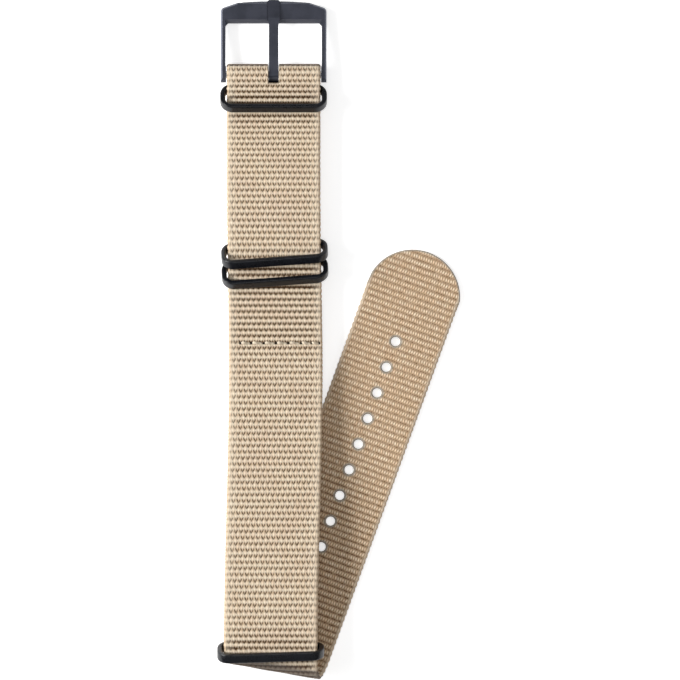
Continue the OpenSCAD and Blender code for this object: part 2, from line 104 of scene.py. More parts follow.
# Rings: half width, half height and corner radius of the outline and of the window, and the
# power of the wire's soft rectangle
RING_OUTLINE, RING_WINDOW = (13.65, 3.9, 3.2), (12.32, 2.65, 1.7)
RING_SQUARE = 6.0
BAR_TO_BAR = 2 * (RING_OUTLINE[1] - WIRE_HALF_T)

# Coil spring in the spring bar
SPRING_WIRE_R, SPRING_TURNS, TIP_TRAVEL = 0.1, 12, 1.2

# u of the needle holes of a sewn row, and the thread's radius
NEEDLE_U = np.array([-9.0, -6.2, -3.0, 0.1, 3.3, 6.5, 9.2, 11.2])
THREAD_R = 0.29
# Depth of a needle hole's floor, where the thread drops through
NEEDLE_DEPTH = 0.95

# Weave: distance between ribs, and between columns of two yarns
RIB, COLUMN = 1.562, 1.304
RIB_STEPS, YARN_STEPS = 6, 3
STEP = RIB / RIB_STEPS
# Grid steps of the tail round its holes, down and across it
HOLE_STEP, HOLE_STEP_X = HOLE_PITCH / 27, SLOT_HALF / 6
# Stations on the front layer and the number of ribs up to them, counted from the spring bar:
# the ribs lie closer together near the bar. FOLD_RIB is the count at the fold.
RIB_STATIONS = np.array([(67.6, 2), (62.04, 6), (57.19, 9), (45.83, 17), (33.75, 25),
                         (11.9, 39), (-3.57, 49), (-78.58, 97), (-94.2, 107)])
FOLD_RIB, BAR_PITCH = 97.5, 1.31

# Photograph: width of what it shows, in metres
PHOTO_W = 0.1736


def ease(x):
    """Smooth step: 0 below 0, 1 above 1, 3x^2 - 2x^3 between."""
    c = np.clip(x, 0, 1)
    return c * c * (3 - 2 * c)


def between(y, y0, y1):
    """Smooth step from 0 at y0 down the strap to 1 at y1."""
    return ease((y0 - y) / (y0 - y1))


def bell(x, width):
    """Bell curve exp(-(x / width)^2)."""
    return np.exp(-(x / width) ** 2)


# ---- Weave as relief

def weave_cell(u, v):
    """Place in the weave's repeat: x from a column's middle, y from the middle of the gap
    between two ribs, and the sign of the row, which turns the lean of its yarns."""
    row = np.floor(v / RIB)
    y = (v / RIB - row - 0.5) * RIB
    x = (u / COLUMN + 0.5 - np.floor(u / COLUMN + 0.5) - 0.5) * COLUMN
    return x, y, 1 - 2 * np.mod(row, 2)


def front_relief(u, v, opened):
    """Height of the front face: a rounded rib each RIB, with yarns of half a column across it,
    and in each gap a deep and a shallow slit that together make a V."""
    x, y, s = weave_cell(u, v)
    rib = 0.5 - 0.5 * np.cos(2 * PI * y / RIB)
    yarn = np.abs(np.sin(2 * PI * x / COLUMN))
    inner = ease((BAND_W / 2 - 0.45 - np.abs(u)) / 0.4)
    deep = bell(x + s * 0.5 * y, 0.16) * bell(y, 0.48)
    shallow = bell(x + s * (0.46 - 0.25 * y), 0.14) * bell(y, 0.42)
    gap = opened * bell(y, 0.32)
    return 0.12 * rib - 0.2 + inner * (0.06 * yarn - 0.12 * deep - 0.07 * shallow - 0.26 * gap)


def reverse_relief(u, v):
    """Height of the reverse face: on each rib one long bead per yarn, half a column wide, and
    lower beads between them in the low rows."""
    x, y, _ = weave_cell(u + COLUMN / 4, v + RIB / 2)
    high = np.abs(np.cos(2 * PI * x / COLUMN)) * bell(y, 0.46)
    low = np.abs(np.sin(2 * PI * x / COLUMN)) * bell(RIB / 2 - np.abs(y), 0.25)
    inner = ease((BAND_W / 2 - 0.4 - np.abs(u)) / 0.4)
    return 0.07 * np.cos(2 * PI * y / RIB) - 0.18 + inner * (0.11 * high + 0.05 * low)


# ---- Mesh makers

def add_object(name, data):
    """A new object in the scene, which holds a mesh, a lamp or a camera."""
    made = bpy.data.objects.new(name, data)
    bpy.context.scene.collection.objects.link(made)
    return made


def mesh_piece(name, points, face_sets, uv=None, values=None, face_slots=None, sharp=50.0):
    """Makes a mesh object from points in mm and arrays of faces with equal corner counts. uv
    gives two numbers a point, values gives named numbers a point."""
    mesh = bpy.data.meshes.new(name)
    corners = np.concatenate([faces.ravel() for faces in face_sets])
    counts = np.concatenate([np.full(len(faces), faces.shape[1]) for faces in face_sets])
    mesh.vertices.add(len(points))
    mesh.vertices.foreach_set("co", (points * MM).astype(np.float32).ravel())
    mesh.loops.add(len(corners))
    mesh.loops.foreach_set("vertex_index", corners.astype(np.int32))
    mesh.polygons.add(len(counts))
    mesh.polygons.foreach_set("loop_start", (np.cumsum(counts) - counts).astype(np.int32))
    mesh.polygons.foreach_set("use_smooth", np.ones(len(counts), bool))
    if face_slots is not None:
        mesh.polygons.foreach_set("material_index", face_slots.astype(np.int32))
    if uv is not None:
        layer = mesh.uv_layers.new(name="weave")
        layer.data.foreach_set("uv", uv[corners].astype(np.float32).ravel())
    for key, value in (values or {}).items():
        store = mesh.attributes.new(key, "FLOAT", "POINT")
        store.data.foreach_set("value", value.astype(np.float32).ravel())
    mesh.update(calc_edges=True)
    mesh.set_sharp_from_angle(angle=math.radians(sharp))
    return add_object(name, mesh)


def grid_quads(number):
    """Quads between the neighbours in a grid of point numbers."""
    return np.stack([number[:-1, :-1], number[:-1, 1:], number[1:, 1:], number[1:, :-1]], -1)


def border_walls(keep, axis):
    """Where kept cells of a grid end, across its rows (axis 0) or columns (axis 1): the grid
    points at both ends of each wall, and whether the kept cell lies after it."""
    margin = [(0, 0), (0, 0)]
    margin[axis] = (1, 1)
    cells = np.pad(keep, margin)
    before = np.take(cells, range(cells.shape[axis] - 1), axis)
    after = np.take(cells, range(1, cells.shape[axis]), axis)
    r, c = np.nonzero(before != after)
    return (r, c, r, c + 1, after[r, c]) if axis == 0 else (r, c, r + 1, c, after[r, c])


def shell(name, front, back, uv, values, materials, keep=None):
    """Closes two grids of points, the front and back face of a length of webbing: quads on
    both faces where keep is true, and walls along every border."""
    rows, cols = front.shape[:2]
    if keep is None:
        keep = np.ones((rows - 1, cols - 1), bool)
    number = np.arange(rows * cols).reshape(rows, cols)
    quads = grid_quads(number)[keep]
    flat = front.reshape(-1, 3)
    normal = np.cross(flat[quads[:, 1]] - flat[quads[:, 0]], flat[quads[:, 3]] - flat[quads[:, 0]])
    outward = flat[quads[:, 0]] - back.reshape(-1, 3)[quads[:, 0]]
    turned = (normal * outward).sum() < 0
    shift = rows * cols
    face_sets, slots = [quads, quads[:, ::-1] + shift], [0, 1]
    for axis in (0, 1):
        r0, c0, r1, c1, after = border_walls(keep, axis)
        a, b = number[r0, c0], number[r1, c1]
        wall = np.stack([a, b, b + shift, a + shift], -1)
        swap = after if axis == 0 else ~after
        face_sets.append(np.where(swap[:, None], wall[:, ::-1], wall))
        slots.append(2)
    if turned:
        face_sets = [faces[:, ::-1] for faces in face_sets]
    face_slots = np.concatenate([np.full(len(f), s) for f, s in zip(face_sets, slots)])
    faces = np.concatenate(face_sets)
    used, numbers = np.unique(faces, return_inverse=True)
    points = np.concatenate([flat, back.reshape(-1, 3)])[used]
    both = {key: np.tile(value.ravel(), 2)[used] for key, value in values.items()}
    piece = mesh_piece(name, points, [numbers.reshape(-1, 4)],
                       np.tile(uv.reshape(-1, 2), (2, 1))[used], both, face_slots)
    for material in materials:
        piece.data.materials.append(material)
    return piece


def grid_columns():
    """u of the grid's columns: even steps on both sides of the tongue's slot, so that two
    columns run along its edges."""
    side = round((BAND_W / 2 - SLOT_HALF) / COLUMN * 2 * YARN_STEPS)
    middle = 2 * round(SLOT_HALF / COLUMN * 2 * YARN_STEPS)
    left = np.linspace(-BAND_W / 2, -SLOT_HALF, side + 1)
    centre = np.linspace(-SLOT_HALF, SLOT_HALF, middle + 1)
    return np.concatenate([left, centre[1:-1], -left[::-1]])


def webbing(name, middle, normal, side, u, v, keep=None, seal=0.0, opened=0.0, lip=0.0,
            pierced=0.0, shaded=0.0):
    """One length of webbing round its middle surface: half its thickness and the weave's relief
    to each side, thinned to a round edge at both selvedges, where each rib pulls the edge in.
    seal is 1 on a melted cut; opened marks gaps pulled open, and painted shadow about the rings
    and at the fold; pierced marks a needle hole, painted dark as shade; shaded is painted shade
    in the tongue's slot and on tight turns; lip rounds a cut off."""
    seal, opened, lip = seal + 0 * u, opened + 0 * u, lip + 0 * u
    pierced, shaded = pierced + 0 * u, shaded + 0 * u
    radius = 0.55
    past = np.clip((np.abs(u) - (BAND_W / 2 - radius)) / radius, 0, 1)
    half = WEB_T / 2 * np.sqrt(1 - 0.93 * past ** 2) * np.sqrt(1 - 0.75 * lip ** 2)
    weave = (1 - 0.9 * seal) * ease((BAND_W / 2 + 0.15 - np.abs(u)) / 0.5)
    melt = 0.04 * np.sin(PI * np.clip(seal, 0, 1)) - 0.05
    pinch = 0.1 * (np.cos(2 * PI * v / RIB) - 1) * ease((np.abs(u) - BAND_W / 2 + 1.2) / 1.2)
    middle = middle + (np.sign(u) * pinch * (1 - seal))[..., None] * side
    top = half + melt * seal + weave * front_relief(u, v, opened) - 0.4 * pierced
    front = middle + normal * top[..., None]
    back = middle - normal * (half + melt * seal + weave * reverse_relief(u, v))[..., None]
    marks = {"seal": seal, "opened": opened, "pierced": pierced, "shaded": shaded}
    return shell(name, front, back, np.stack([u, v], -1), marks,
                 (webbing_front, webbing_reverse, webbing_edge), keep)


def tube(name, path, radius, hidden, lobes=2, turn=23.0, depth=0.28, sides=12, up=(0, -1, 0)):
    """Closed tube along a path of points in mm, with a radius at each, and how far it is sunk under
    the webbing, kept as the point value under for painted shade: a circle whose radius swells in
    so many lobes, which turn by so many degrees a step, swept on axes carried along the path, the
    first of them as near to up as it can be."""
    path = np.asarray(path, float)
    ahead = np.gradient(path, axis=0)
    ahead /= np.linalg.norm(ahead, axis=1)[:, None]
    up = np.broadcast_to(np.asarray(up, float), path.shape)
    up = up - (ahead * up).sum(1)[:, None] * ahead
    up /= np.linalg.norm(up, axis=1)[:, None]
    across = np.cross(ahead, up)
    angle = np.linspace(0, 2 * PI, sides, endpoint=False)[None, :]
    phase = np.radians(turn) * np.arange(len(path))[:, None]
    lobe = np.abs(np.cos(lobes / 2 * (angle - phase)))
    size = np.reshape(radius, (-1, 1)) * (1 - depth + depth * lobe)
    ring = (path[:, None] + up[:, None] * (size * np.cos(angle))[..., None]
            + across[:, None] * (size * np.sin(angle))[..., None])
    count = len(path)
    number = np.arange(count * sides).reshape(count, sides)
    ahead_number = np.roll(number, -1, axis=1)
    quads = np.stack([number[:-1], ahead_number[:-1], ahead_number[1:], number[1:]], -1)
    start = np.stack([ahead_number[0], number[0], np.full(sides, count * sides)], -1)
    end = np.stack([number[-1], ahead_number[-1], np.full(sides, count * sides + 1)], -1)
    points = np.concatenate([ring.reshape(-1, 3), path[:1], path[-1:]])
    run = np.concatenate([[0], np.cumsum(np.linalg.norm(np.diff(path, axis=0), axis=1))])
    uv = np.stack(np.broadcast_arrays(angle / (2 * PI), run[:, None]), -1).reshape(-1, 2)
    uv = np.concatenate([uv, [[0.5, 0]], [[0.5, run[-1]]]])
    under = np.concatenate([np.repeat(hidden, sides), hidden[:1], hidden[-1:]])
    return mesh_piece(name, points, [quads.reshape(-1, 4), np.concatenate([start, end])], uv,
                      {"under": under}, sharp=180.0)


# ---- The webbing's course

def band_mid(y):
    """X of the band's centreline at a station: it bows right above the seam, then leans left."""
    return (BAND_X + BOW_UP * between(y, BOW_START_Y, BOW_TURN_Y)
            - BOW_DOWN * between(y, BOW_TURN_Y, FOLD_Y))


def front_z(y):
    """Height of the middle of the front layer: level over the sleeve, climbing to the fold."""
    return SLEEVE_Z + (TOP_Z - SLEEVE_Z) * between(y, SEAM_Y - SEAM_FLAT, CLIMB_END_Y)


def return_z(y):
    """Height of the middle of the return layer: on the table, rising to the seam."""
    rise = between(y, SEAM_Y + SLEEVE_CLOSE, SEAM_Y + SEAM_LAP + 1)
    return WEB_T / 2 + (SLEEVE_Z - 1.5 * WEB_T) * rise


def short_z(y):
    """Height of the middle of the short strap's upper layer, from the seam to the end ring."""
    under, flap = SLEEVE_Z - 2 * WEB_T, FLAP_Z - WEB_T / 2
    first = (flap - under) * between(y, SEAM_Y - SEAM_FLAT, FLAP_SEAM_Y + FLAP_HALF + 2)
    last = FOLD_Z + LOOP_BORE + WEB_T / 2 - flap
    return under + first + last * between(y, FLAP_SEAM_Y - FLAP_HALF, END_RING_Y + 2)


def flap_z(y):
    """Height of the middle of the short strap's turned-back flap."""
    low = FOLD_Z - LOOP_BORE - WEB_T / 2
    run = FLAP_SEAM_Y - FLAP_HALF - 0.5 - END_RING_Y - 1
    return low + (FLAP_Z - 1.5 * WEB_T - low) * ease((y - END_RING_Y - 1) / run)


def half_turn(y, z, r, way):
    """Half circle of (y, z) points round a bar, from above it to below it."""
    a = np.linspace(PI / 2, -PI / 2, 60)
    return np.stack([y + way * r * np.cos(a), z + r * np.sin(a)], -1)


def level_line(y0, y1, height):
    """(y, z) points at the height that a layer has at each station from y0 to y1."""
    y = np.linspace(y0, y1, max(3, int(abs(y1 - y0) / 0.1)))
    return np.stack([y, height(y) + 0 * y], -1)


class Course:
    """A line of (y, z) points that webbing follows, measured by the run from its start."""

    def __init__(self, *parts):
        points = np.concatenate(parts)
        step = np.hypot(*np.diff(points, axis=0).T)
        points = points[np.concatenate([[True], step > 1e-6])]
        self.points = points
        self.run = np.concatenate([[0], np.cumsum(np.hypot(*np.diff(points, axis=0).T))])
        ahead = np.gradient(points, self.run, axis=0)
        self.ahead = ahead / np.hypot(*ahead.T)[:, None]
        self.length = self.run[-1]

    def at(self, s):
        """y, z, and the unit normal to the left of travel, at run s."""
        y, z = (np.interp(s, self.run, self.points[:, i]) for i in (0, 1))
        dy, dz = (np.interp(s, self.run, self.ahead[:, i]) for i in (0, 1))
        size = np.hypot(dy, dz)
        return y, z, -dz / size, dy / size


def rib_place(y):
    """v at a station of the front layer, from the ribs counted up to it."""
    ribs = np.interp(-y, -RIB_STATIONS[:, 0], RIB_STATIONS[:, 1])
    ribs = ribs - np.maximum(y - RIB_STATIONS[0, 0], 0) / BAR_PITCH
    return (ribs - FOLD_RIB) * RIB


def strip(name, course, s0, s1, place, out, slant=0.0, slot_ends=None, marks=None, cut=None):
    """Webbing along a course from run s0 to s1. place gives v for y and the run, and out turns
    the course's left normal to the front face. slant leans the rows near the fold to its line,
    slot_ends are the lowest stations of the tongue's slot in the front and the return layer,
    marks adds what changes with u and y, and cut melts the row at that run. Painted shade
    darkens the webbing where the course stands upright, and round the tongue's slot."""
    count = max(2, round((s1 - s0) / STEP)) + 1
    u = np.tile(grid_columns(), (count, 1))
    s = np.linspace(s0, s1, count)[:, None] + 0 * u
    s = s - math.tan(slant) * u * np.clip(1 - s / LEAN_RUN, 0, 1) ** 2
    y, z, ny, nz = course.at(np.maximum(s, 0))
    y = y + np.minimum(s, 0)
    middle = np.stack([band_mid(y) + u, y, z], -1)
    normal = out * np.stack([0 * u, ny, nz], -1)
    keep, more = None, {} if marks is None else marks(u, y)
    # Painted shade where the course stands upright, as in its turn over the spring bar
    more["shaded"] = 0.6 * ease((np.abs(ny) - 0.7) / 0.2)
    if slot_ends is not None:
        slot_end = np.where(z > BAR_Z, slot_ends[0], slot_ends[1]) - STEP / 2
        beside = np.maximum(np.abs(u) - SLOT_HALF, 0)
        away = np.hypot(beside, np.maximum(slot_end - y, 0))
        inside = (np.abs(u) < SLOT_HALF + 0.01) & (y > slot_end)
        keep = ~(inside[:-1, :-1] & inside[1:, 1:] & inside[1:, :-1] & inside[:-1, 1:])
        # The slot's cut is melted, and its walls and rim get painted shade
        more.update(seal=0.7 * (1 - ease((away - 0.05) / 0.35)), lip=1 - ease(away / 0.3),
                    shaded=np.maximum(more["shaded"], 1 - ease(away / 0.1)))
    if cut is not None:
        more["seal"] = 1 - ease(np.abs(s - cut) / 0.6)
    return webbing(name, middle, normal, np.array([1.0, 0.0, 0.0]), u, place(y, s), keep, **more)


def band_marks(u, y):
    """Where the front face's gaps are opened and darkened: about each ring's bar, which is painted
    shadow of the ring, with gaps also pulled open where the webbing dips under the first ring,
    from the third ring to the seam, and before the fold, under the end ring. Where the needle
    went through it at the seam, and a groove along the row, both painted dark as shade."""
    # About the rings the darkening is painted shadow of each ring
    rings = bell(y - RING_Y[0] + 4.2, 4.2) + sum(0.8 * bell(y - at + 5.8, 1.8) for at in RING_Y[1:])
    seam = 0.34 * bell(y - SEAM_Y - 1.5, 4) + 0.36 * bell(y - SEAM_Y - 11, 7)
    opened = rings + seam + 0.5 * bell(y - FOLD_Y - 2.5, 2.5)
    away = np.hypot(np.abs(u[..., None] - NEEDLE_U).min(-1), y - SEAM_Y)
    # A dark line along the sewn row: painted shade in a shallow groove
    groove = 0.5 * bell(y - SEAM_Y + 0.22, 0.22) * (u > NEEDLE_U[0]) * (u < NEEDLE_U[-1])
    return {"opened": np.clip(opened, 0, 1), "pierced": np.maximum(bell(away, 0.4), groove)}


band_course = Course(
    level_line(FOLD_Y, BAR_Y, front_z),
    half_turn(BAR_Y, BAR_Z, (SLEEVE_GAP + WEB_T) / 2, 1),
    level_line(BAR_Y, SEAM_Y - SEAM_LAP, return_z))
short_course = Course(
    level_line(SEAM_Y + SEAM_LAP, END_RING_Y, short_z),
    half_turn(END_RING_Y, FOLD_Z, LOOP_BORE + WEB_T / 2, -1),
    level_line(END_RING_Y, FLAP_SEAM_Y + FLAP_HALF, flap_z))


def fold_points(turn, u, r):
    """Points round the slanted fold at each turn (0 to pi) and u, r from the fold's axis, and
    the directions outward and across the webbing."""
    ahead = np.array([math.cos(SLANT), -math.sin(SLANT), 0])
    out = np.array([-math.sin(SLANT), -math.cos(SLANT), 0])
    outward = np.sin(turn)[..., None] * out + np.cos(turn)[..., None] * np.array([0, 0, 1.0])
    s = u / math.cos(SLANT) + FOLD_STEP * turn / PI
    centre = np.array([band_mid(FOLD_Y), FOLD_Y, FOLD_Z])
    return centre + s[..., None] * ahead + r * outward, outward, ahead


def fold_piece(name):
    """Half turn of webbing under the band: v is (r * turn + u * sin) / cos of the slant."""
    count = round(PI * FOLD_R / STEP) + 1
    u = np.tile(grid_columns(), (count, 1))
    turn = np.linspace(0, PI, count)[:, None] + 0 * u
    middle, outward, ahead = fold_points(turn, u, FOLD_R)
    v = rib_place(FOLD_Y) + (FOLD_R * turn + u * math.sin(SLANT)) / math.cos(SLANT)
    # Gaps opened all round the fold, partly by the bend and partly as painted shade under the end
    # ring; painted shade on its side that faces down the strap
    return webbing(name, middle, outward, ahead, u, v, opened=0.9,
                   shaded=0.8 * ease((np.sin(turn) - 0.3) / 0.4))


def hole_pull(x, y):
    """Moves grid points near a hole's centre so that the grid's square of half size about 1
    becomes the hole's circle. The pull fades to nothing at 2.2 times that square."""
    qx, qy = HOLE_STEP_X * 5, HOLE_STEP * 4
    ring = np.maximum(np.maximum(np.abs(x) / qx, np.abs(y) / qy), 1e-6)
    fade = np.clip((2.2 - np.maximum(ring, 1)) / 1.2, 0, 1)
    size = np.hypot(x, y) + 1e-9
    scale = HOLE_R / size - 1 / ring
    return x * (1 + fade * scale), y * (1 + fade * scale), ring < 0.999


def tail_piece(name):
    """Free end on the table, its reverse face up: straight rows with the melted holes, a last
    part whose rows stretch to the round tip, and first rows that lean to the fold's line."""
    first_hole = TAIL_L - TIP_TO_HOLE
    rows = first_hole - HOLE_STEP * np.arange(math.floor(first_hole / HOLE_STEP), -200, -1)
    rows = rows[rows < TAIL_L - 0.02]
    rows = np.concatenate([[0.0], rows[rows > 0.1], [TAIL_L]])
    u = np.tile(grid_columns(), (len(rows), 1))
    w = rows[:, None] + 0 * u
    tip_x, tip_y = TIP_R - BAND_W / 2, TAIL_L - TIP_R
    end = tip_y + np.sqrt(np.maximum(TIP_R ** 2 - (u - tip_x) ** 2, 0))
    tip_from = first_hole + 5
    stretched = tip_from + (w - tip_from) * (end - tip_from) / (TAIL_L - tip_from)
    w = np.where(w > tip_from, stretched, w)
    w = w + math.tan(SLANT) * u * np.clip(1 - w / LEAN_RUN, 0, 1) ** 2
    x, y, hole_edge = u.copy(), w.copy(), np.full(u.shape, 99.0)
    keep = np.ones((len(rows) - 1, u.shape[1] - 1), bool)
    for i in range(HOLES):
        at = first_hole - HOLE_PITCH * i
        mid_x, mid_y = (u[:-1, :-1] + u[1:, 1:]) / 2, (w[:-1, :-1] + w[1:, 1:]) / 2 - at
        keep &= ~hole_pull(mid_x, mid_y)[2]
        near = np.abs(w - at) < HOLE_PITCH / 2
        pulled_x, pulled_y, _ = hole_pull(u, w - at)
        x, y = np.where(near, pulled_x, x), np.where(near, pulled_y + at, y)
        hole_edge = np.minimum(hole_edge, np.abs(np.hypot(x, y - at) - HOLE_R))
    tip_edge = np.where(y > tip_y, TIP_R - np.hypot(x - tip_x, y - tip_y), 99.0)
    seal = np.maximum(1 - ease((hole_edge - 0.4) / 0.3), 1 - ease((tip_edge - 0.2) / 0.35))
    lip = np.maximum(1 - ease(hole_edge / 0.3), 1 - ease(tip_edge / 0.4))
    cos, sin = math.cos(TAIL_TURN), math.sin(TAIL_TURN)
    start = fold_points(np.array(PI), np.array(0.0), FOLD_R)[0]
    middle = np.stack([start[0] + x * cos + y * sin, start[1] - x * sin + y * cos,
                       WEB_T / 2 + 0 * x], -1)
    normal = np.broadcast_to(np.array([0.0, 0.0, -1.0]), middle.shape)
    v = rib_place(FOLD_Y) + PI * FOLD_R / math.cos(SLANT) + y
    return webbing(name, middle, normal, np.array([cos, -sin, 0.0]), x, v, keep, seal, lip=lip)


# ---- Thread

def stitch_row(name, y, z_low, z_high):
    """One thread of a sewn row: each stitch rises steeply from its needle hole, stands on the
    webbing, sinks slowly into it and drops into the next hole. The thread goes down through the
    last hole and back under the row in the same way."""
    f = np.linspace(0, 1, 33)[:-1]
    height = (-NEEDLE_DEPTH + 1.15 * ease((f - 0.1) / 0.12) - 0.5 * ease((f - 0.3) / 0.35)
              - 0.65 * ease((f - 0.76) / 0.14))
    span = np.diff(NEEDLE_U)[:, None]
    top_x = (band_mid(y) + NEEDLE_U[:-1, None] + span * f).ravel()
    height = np.tile(height, len(span))
    sway = np.tile(0.14 * np.cos(PI * f), len(span))
    top = np.stack([top_x, y + sway, z_high + height], -1)
    low = np.stack([top_x, y + sway, z_low - height], -1)[::-1]
    end_x = band_mid(y) + NEEDLE_U[-1]
    down_z = np.linspace(z_high - NEEDLE_DEPTH, z_low + NEEDLE_DEPTH, 9)[1:-1]
    down = np.stack([0 * down_z + end_x, 0 * down_z + y, down_z], -1)
    hidden = np.concatenate([height, 0 * down_z - NEEDLE_DEPTH, height[::-1]])
    radius = THREAD_R * (1 + 0.35 * ease((hidden + 0.2) / 0.3))
    # The thread is painted dark as shade where it sinks into its needle holes
    return tube(name, np.concatenate([top, down, low]), radius, ease((-0.25 - hidden) / 0.35))


# ---- Spring

def coil_half(name, way):
    """Half of the coil spring, from the bar's middle to its end on one side (way): a helix of
    x = way * f * half length and angle = f * half the turns."""
    low, high = (np.array(corner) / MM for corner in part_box("spring_bar_spring"))
    middle, reach = (low + high) / 2, (high - low) / 2 - SPRING_WIRE_R
    f = np.linspace(0, 1, 10 * SPRING_TURNS + 1)
    turn = PI * SPRING_TURNS * f
    radial = np.stack([0 * f, np.cos(turn), np.sin(turn)], -1)
    path = middle + reach[2] * radial + np.outer(way * reach[0] * f, [1, 0, 0])
    half = tube(name, path, SPRING_WIRE_R, 0 * f, depth=0.0, sides=8, up=radial)
    return half, middle, reach[0] + SPRING_WIRE_R


# ---- Rings

def round_corners(half_w, half_h, r, arc=14, straight=10):
    """Points round a rectangle with corners of radius r: equal counts on each arc and side."""
    a = np.linspace(0, PI / 2, arc)
    quarter = np.stack([half_w - r + r * np.cos(a), half_h - r + r * np.sin(a)], -1)
    flips = ((1, 1, 1), (-1, 1, -1), (-1, -1, 1), (1, -1, -1))
    corners = [quarter[::way] * (x, y) for x, y, way in flips]
    sides = [np.linspace(corners[i][-1], corners[(i + 1) % 4][0], straight + 2)[1:-1]
             for i in range(4)]
    return np.concatenate([part for pair in zip(corners, sides) for part in pair])


def ring_piece(name, y, z, tilt, skew, lag=0.0):
    """Flat-wire ring: a soft rectangle, the curve |a|^6 + |b|^6 = 1, swept between an inner and
    an outer outline with round corners. It leans by tilt and is turned in plan by skew. lag
    turns the front bar alone, and moves each side arm by its distance from the rear bar."""
    outer, inner = round_corners(*RING_OUTLINE), round_corners(*RING_WINDOW)
    sides = 28
    a = np.linspace(0, 2 * PI, sides, endpoint=False)
    across = np.sign(np.cos(a)) * np.abs(np.cos(a)) ** (2 / RING_SQUARE)
    along = np.sign(np.sin(a)) * np.abs(np.sin(a)) ** (2 / RING_SQUARE)
    middle, reach = (outer + inner) / 2, (outer - inner) / 2
    plane = middle[:, None] + reach[:, None] * across[None, :, None]
    x, up = plane[..., 0], plane[..., 1] + BAR_TO_BAR / 2
    out = WIRE_HALF_D * along + 0 * x
    t, k = math.radians(tilt), math.radians(skew)
    back, rise = out * math.cos(t) - up * math.sin(t), out * math.sin(t) + up * math.cos(t)
    back = back + math.tan(math.radians(lag)) * x * np.clip(up / BAR_TO_BAR, 0, 1)
    points = np.stack([band_mid(y) + x * math.cos(k) - back * math.sin(k),
                       y + x * math.sin(k) + back * math.cos(k), z + rise], -1).reshape(-1, 3)
    number = np.arange(len(points)).reshape(len(outer), sides)
    turn, round_ = np.roll(number, -1, 0), np.roll(number, -1, 1)
    quads = np.stack([number, turn, np.roll(turn, -1, 1), round_], -1).reshape(-1, 4)
    corners = points[quads]
    volume = (corners[:, 0] * np.cross(corners[:, 1], corners[:, 2])
              + corners[:, 0] * np.cross(corners[:, 2], corners[:, 3])).sum()
    return mesh_piece(name, points, [quads if volume > 0 else quads[:, ::-1]], sharp=180.0)


# ---- Node patterns

def feed(tree, slot, value):
    """Gives an input socket a Wire or a constant."""
    if isinstance(value, Wire):
        tree.links.new(value.socket, slot)
    else:
        slot.default_value = value


def feed_named(tree, node, **values):
    """Feeds a node's inputs by their names, with _ for a space."""
    for title, value in values.items():
        feed(tree, node.inputs[title.replace("_", " ")], value)


class Wire:
    """An output of a node tree; arithmetic on it adds Math nodes to the tree."""

    def __init__(self, tree, socket):
        self.tree, self.socket = tree, socket

    def math(self, kind, *others):
        node = self.tree.nodes.new("ShaderNodeMath")
        node.operation = kind
        for slot, value in zip(node.inputs, (self, *others)):
            feed(self.tree, slot, value)
        return Wire(self.tree, node.outputs[0])

    def __add__(self, other):
        return self.math("ADD", other)

    def __sub__(self, other):
        return self.math("SUBTRACT", other)

    def __mul__(self, other):
        return self.math("MULTIPLY", other)

    def __truediv__(self, other):
        return self.math("DIVIDE", other)

    def less_from(self, number):
        """number - self."""
        return (self * -1) + number

    def bell(self, width):
        """exp(-(self / width)^2)."""
        x = self / width
        return (x * x * -1).math("EXPONENT")

    def smooth(self, low, high):
        """Smooth step from 0 at low to 1 at high."""
        node = self.tree.nodes.new("ShaderNodeMapRange")
        node.interpolation_type = "SMOOTHSTEP"
        feed_named(self.tree, node, Value=self, From_Min=low, From_Max=high)
        return Wire(self.tree, node.outputs["Result"])


def colour(red, green, blue):
    """Linear colour of an sRGB colour given as 0 to 255."""
    c = np.array([red, green, blue]) / 255
    linear = np.where(c <= 0.04045, c / 12.92, ((c + 0.055) / 1.055) ** 2.4)
    return (*linear.tolist(), 1.0)


def blend_colour(tree, amount, first, second):
    """Colour from first to second by a Wire; each is a colour or a Wire."""
    node = tree.nodes.new("ShaderNodeMix")
    node.data_type = "RGBA"
    for number, value in ((0, amount), (6, first), (7, second)):
        feed(tree, node.inputs[number], value)
    return Wire(tree, node.outputs[2])


def noise(tree, vector, scale, detail=2.0, rough=0.5):
    """Noise of 0 to 1 at a vector."""
    node = tree.nodes.new("ShaderNodeTexNoise")
    feed_named(tree, node, Vector=vector, Scale=scale, Detail=detail, Roughness=rough)
    return Wire(tree, node.outputs["Fac"])


def joined(tree, x, y, z=0.0):
    """Vector of three parts."""
    node = tree.nodes.new("ShaderNodeCombineXYZ")
    for slot, value in zip(node.inputs, (x, y, z)):
        feed(tree, slot, value)
    return Wire(tree, node.outputs[0])


def parted(tree, vector):
    """The three parts of a vector."""
    node = tree.nodes.new("ShaderNodeSeparateXYZ")
    feed(tree, node.inputs[0], vector)
    return [Wire(tree, out) for out in node.outputs]


def new_group(name, inputs, outputs):
    """An empty node group with named inputs and outputs, given as (name, kind) pairs."""
    group = bpy.data.node_groups.new(name, "ShaderNodeTree")
    for direction, sockets in (("INPUT", inputs), ("OUTPUT", outputs)):
        for title, kind in sockets:
            group.interface.new_socket(title, in_out=direction, socket_type="NodeSocket" + kind)
    source, target = group.nodes.new("NodeGroupInput"), group.nodes.new("NodeGroupOutput")
    return group, {s.name: Wire(group, s) for s in source.outputs if s.name}, target


def placed_group(tree, group, **inputs):
    """Places a group in a tree and gives its outputs by name."""
    node = tree.nodes.new("ShaderNodeGroup")
    node.node_tree = group
    feed_named(tree, node, **inputs)
    return {out.name: Wire(tree, out) for out in node.outputs}


def put_out(group, target, **wires):
    """Links wires to the group's outputs of the same names."""
    for title, wire in wires.items():
        group.links.new(wire.socket, target.inputs[title])


